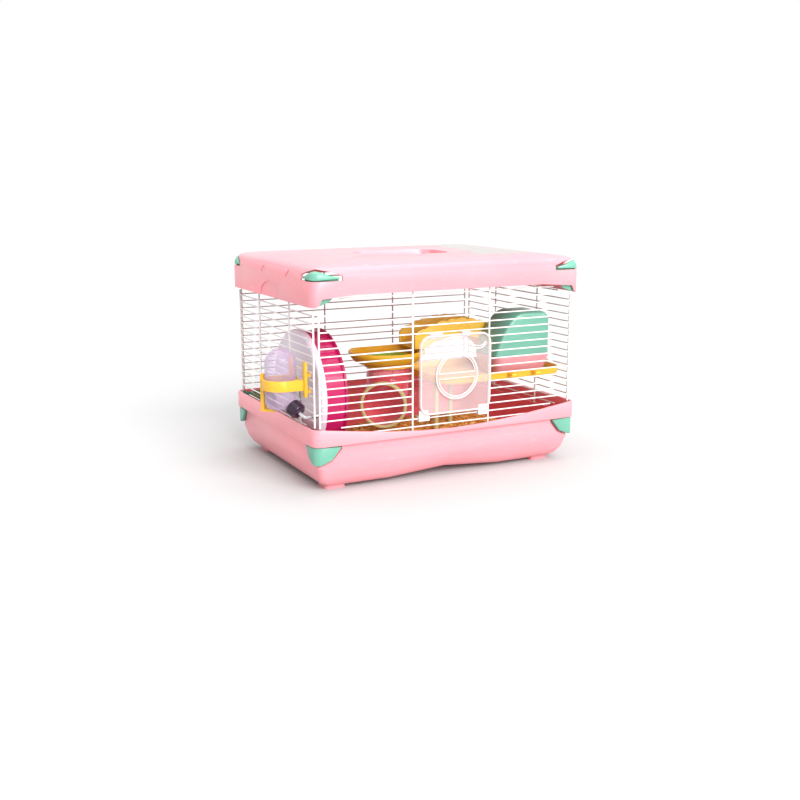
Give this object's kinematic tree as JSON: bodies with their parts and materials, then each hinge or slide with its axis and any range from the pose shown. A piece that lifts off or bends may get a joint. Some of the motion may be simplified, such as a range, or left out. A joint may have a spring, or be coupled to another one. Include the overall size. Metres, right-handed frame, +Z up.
{
  "type": "hamster cage",
  "caption": "Small rodent cage: pink tub and lid with wire walls, clear drop-down door, wheel, tube, platforms, domed house and an outside water bottle.",
  "frame": {"origin": "centre of the whole footprint, at the underside of the feet", "axes": "+X to the right along the front, +Y to the back, +Z up"},
  "size_m": [0.4002, 0.268, 0.264],
  "materials": {
    "pink_shell": "satin moulded",
    "clear_plastic": "clear, faintly pink",
    "white_wire": "white powder coat",
    "white_plastic": "glossy",
    "lavender_clear": "clear lavender",
    "purple_plastic": "glossy knurled",
    "steel": "bright drawn tube",
    "yellow_plastic": "satin moulded",
    "magenta_clear": "translucent magenta",
    "pale_lavender": "milky",
    "pink_clear": "translucent pink",
    "cream_plastic": "satin",
    "lime_plastic": "satin",
    "rose_plastic": "satin",
    "mint_plastic": "satin moulded",
    "sage_plastic": "satin",
    "wood_shavings": "loose softwood shavings"
  },
  "bodies": {
    "base": {"base_tub": "pink_shell", "bedding": "wood_shavings", "wheel_stand": "white_plastic", "wheel_axle": "white_plastic", "tube_elbow": "pink_clear", "tube_ring": "cream_plastic", "shelf_post_1": "cream_plastic", "shelf_post_2": "cream_plastic"},
    "wire_cage": {"front_wires": "white_wire", "back_wires": "white_wire", "left_wires": "white_wire", "right_wires": "white_wire", "long_shelf": "yellow_plastic", "arched_bridge": "yellow_plastic", "house_base": "rose_plastic", "round_platform": "yellow_plastic", "tube_grommet": "lime_plastic"},
    "lid_shell": {"lid": "pink_shell", "skylight_panel": "clear_plastic"},
    "handle": {"carry_handle": "pink_shell"},
    "door": {"door_panel": "clear_plastic", "door_hinge_clip_left": "white_plastic", "door_hinge_clip_right": "white_plastic", "door_catch_left": "white_plastic", "door_catch_right": "white_plastic"},
    "port_cap": {"door_cap": "clear_plastic"},
    "wheel": {"wheel_drum": "magenta_clear", "wheel_disc": "pale_lavender"},
    "bottle_set": {"bottle_holder": "yellow_plastic", "bottle_body": "lavender_clear", "bottle_cap": "purple_plastic", "bottle_spout": "steel"},
    "valve_ball": {"spout_ball": "steel"},
    "house_roof": {"house_dome": "mint_plastic"},
    "pan": {"corner_pan": "sage_plastic"},
    "lid_clip_front_left_body": {"lid_clip_front_left": "mint_plastic"},
    "tub_clip_front_left_body": {"tub_clip_front_left": "mint_plastic"},
    "lid_clip_front_right_body": {"lid_clip_front_right": "mint_plastic"},
    "tub_clip_front_right_body": {"tub_clip_front_right": "mint_plastic"},
    "lid_clip_back_left_body": {"lid_clip_back_left": "mint_plastic"},
    "tub_clip_back_left_body": {"tub_clip_back_left": "mint_plastic"},
    "lid_clip_back_right_body": {"lid_clip_back_right": "mint_plastic"},
    "tub_clip_back_right_body": {"tub_clip_back_right": "mint_plastic"}
  },
  "joints": [
    {"name": "cage_lift", "type": "slide", "parent": "base", "child": "wire_cage", "axis": [0, 0, 1], "range_m": [0, 0.15]},
    {"name": "lid_lift", "type": "slide", "parent": "wire_cage", "child": "lid_shell", "axis": [0, 0, 1], "range_m": [0, 0.12]},
    {"name": "handle_fold", "type": "hinge", "parent": "lid_shell", "child": "handle", "pos_m": [0.00815, 0.004, 0.2565], "axis": [-1, 0, 0], "range_deg": [0, 90]},
    {"name": "door_swing", "type": "hinge", "parent": "wire_cage", "child": "door", "pos_m": [0.0239, -0.128, 0.0767], "axis": [1, 0, 0], "range_deg": [0, 120]},
    {"name": "cap_twist", "type": "hinge", "parent": "door", "child": "port_cap", "pos_m": [0.02515, -0.132, 0.1255], "axis": [0, 1, 0], "range_deg": [0, 90]},
    {"name": "wheel_spin", "type": "hinge", "parent": "base", "child": "wheel", "pos_m": [-0.12385, -0.037, 0.103], "axis": [1, 0, 0], "continuous": true},
    {"name": "bottle_unhook", "type": "slide", "parent": "wire_cage", "child": "bottle_set", "axis": [-1, 0, 0], "range_m": [0, 0.04]},
    {"name": "ball_valve", "type": "slide", "parent": "bottle_set", "child": "valve_ball", "axis": [-1, 0, 0], "range_m": [0, 0.0015]},
    {"name": "roof_lift", "type": "slide", "parent": "wire_cage", "child": "house_roof", "axis": [0, 0, 1], "range_m": [0, 0.055]},
    {"name": "pan_lift", "type": "slide", "parent": "base", "child": "pan", "axis": [0, 0, 1], "range_m": [0, 0.05]},
    {"name": "lid_clip_front_left_press", "type": "hinge", "parent": "lid_shell", "child": "lid_clip_front_left_body", "pos_m": [-0.15345, -0.1276, 0.236], "axis": [-0.7071, 0.7071, 0], "range_deg": [0, 3], "stiffness_Nm_per_rad": 1.2},
    {"name": "tub_clip_front_left_press", "type": "hinge", "parent": "base", "child": "tub_clip_front_left_body", "pos_m": [-0.15345, -0.1276, 0.0575], "axis": [0.7071, -0.7071, 0], "range_deg": [0, 4], "stiffness_Nm_per_rad": 1.2},
    {"name": "lid_clip_front_right_press", "type": "hinge", "parent": "lid_shell", "child": "lid_clip_front_right_body", "pos_m": [0.19375, -0.1276, 0.236], "axis": [-0.7071, -0.7071, 0], "range_deg": [0, 3], "stiffness_Nm_per_rad": 1.2},
    {"name": "tub_clip_front_right_press", "type": "hinge", "parent": "base", "child": "tub_clip_front_right_body", "pos_m": [0.19375, -0.1276, 0.0575], "axis": [0.7071, 0.7071, 0], "range_deg": [0, 4], "stiffness_Nm_per_rad": 1.2},
    {"name": "lid_clip_back_left_press", "type": "hinge", "parent": "lid_shell", "child": "lid_clip_back_left_body", "pos_m": [-0.15345, 0.1276, 0.236], "axis": [0.7071, 0.7071, 0], "range_deg": [0, 3], "stiffness_Nm_per_rad": 1.2},
    {"name": "tub_clip_back_left_press", "type": "hinge", "parent": "base", "child": "tub_clip_back_left_body", "pos_m": [-0.15345, 0.1276, 0.0575], "axis": [-0.7071, -0.7071, 0], "range_deg": [0, 4], "stiffness_Nm_per_rad": 1.2},
    {"name": "lid_clip_back_right_press", "type": "hinge", "parent": "lid_shell", "child": "lid_clip_back_right_body", "pos_m": [0.19375, 0.1276, 0.236], "axis": [0.7071, -0.7071, 0], "range_deg": [0, 3], "stiffness_Nm_per_rad": 1.2},
    {"name": "tub_clip_back_right_press", "type": "hinge", "parent": "base", "child": "tub_clip_back_right_body", "pos_m": [0.19375, 0.1276, 0.0575], "axis": [-0.7071, 0.7071, 0], "range_deg": [0, 4], "stiffness_Nm_per_rad": 1.2}
  ]
}
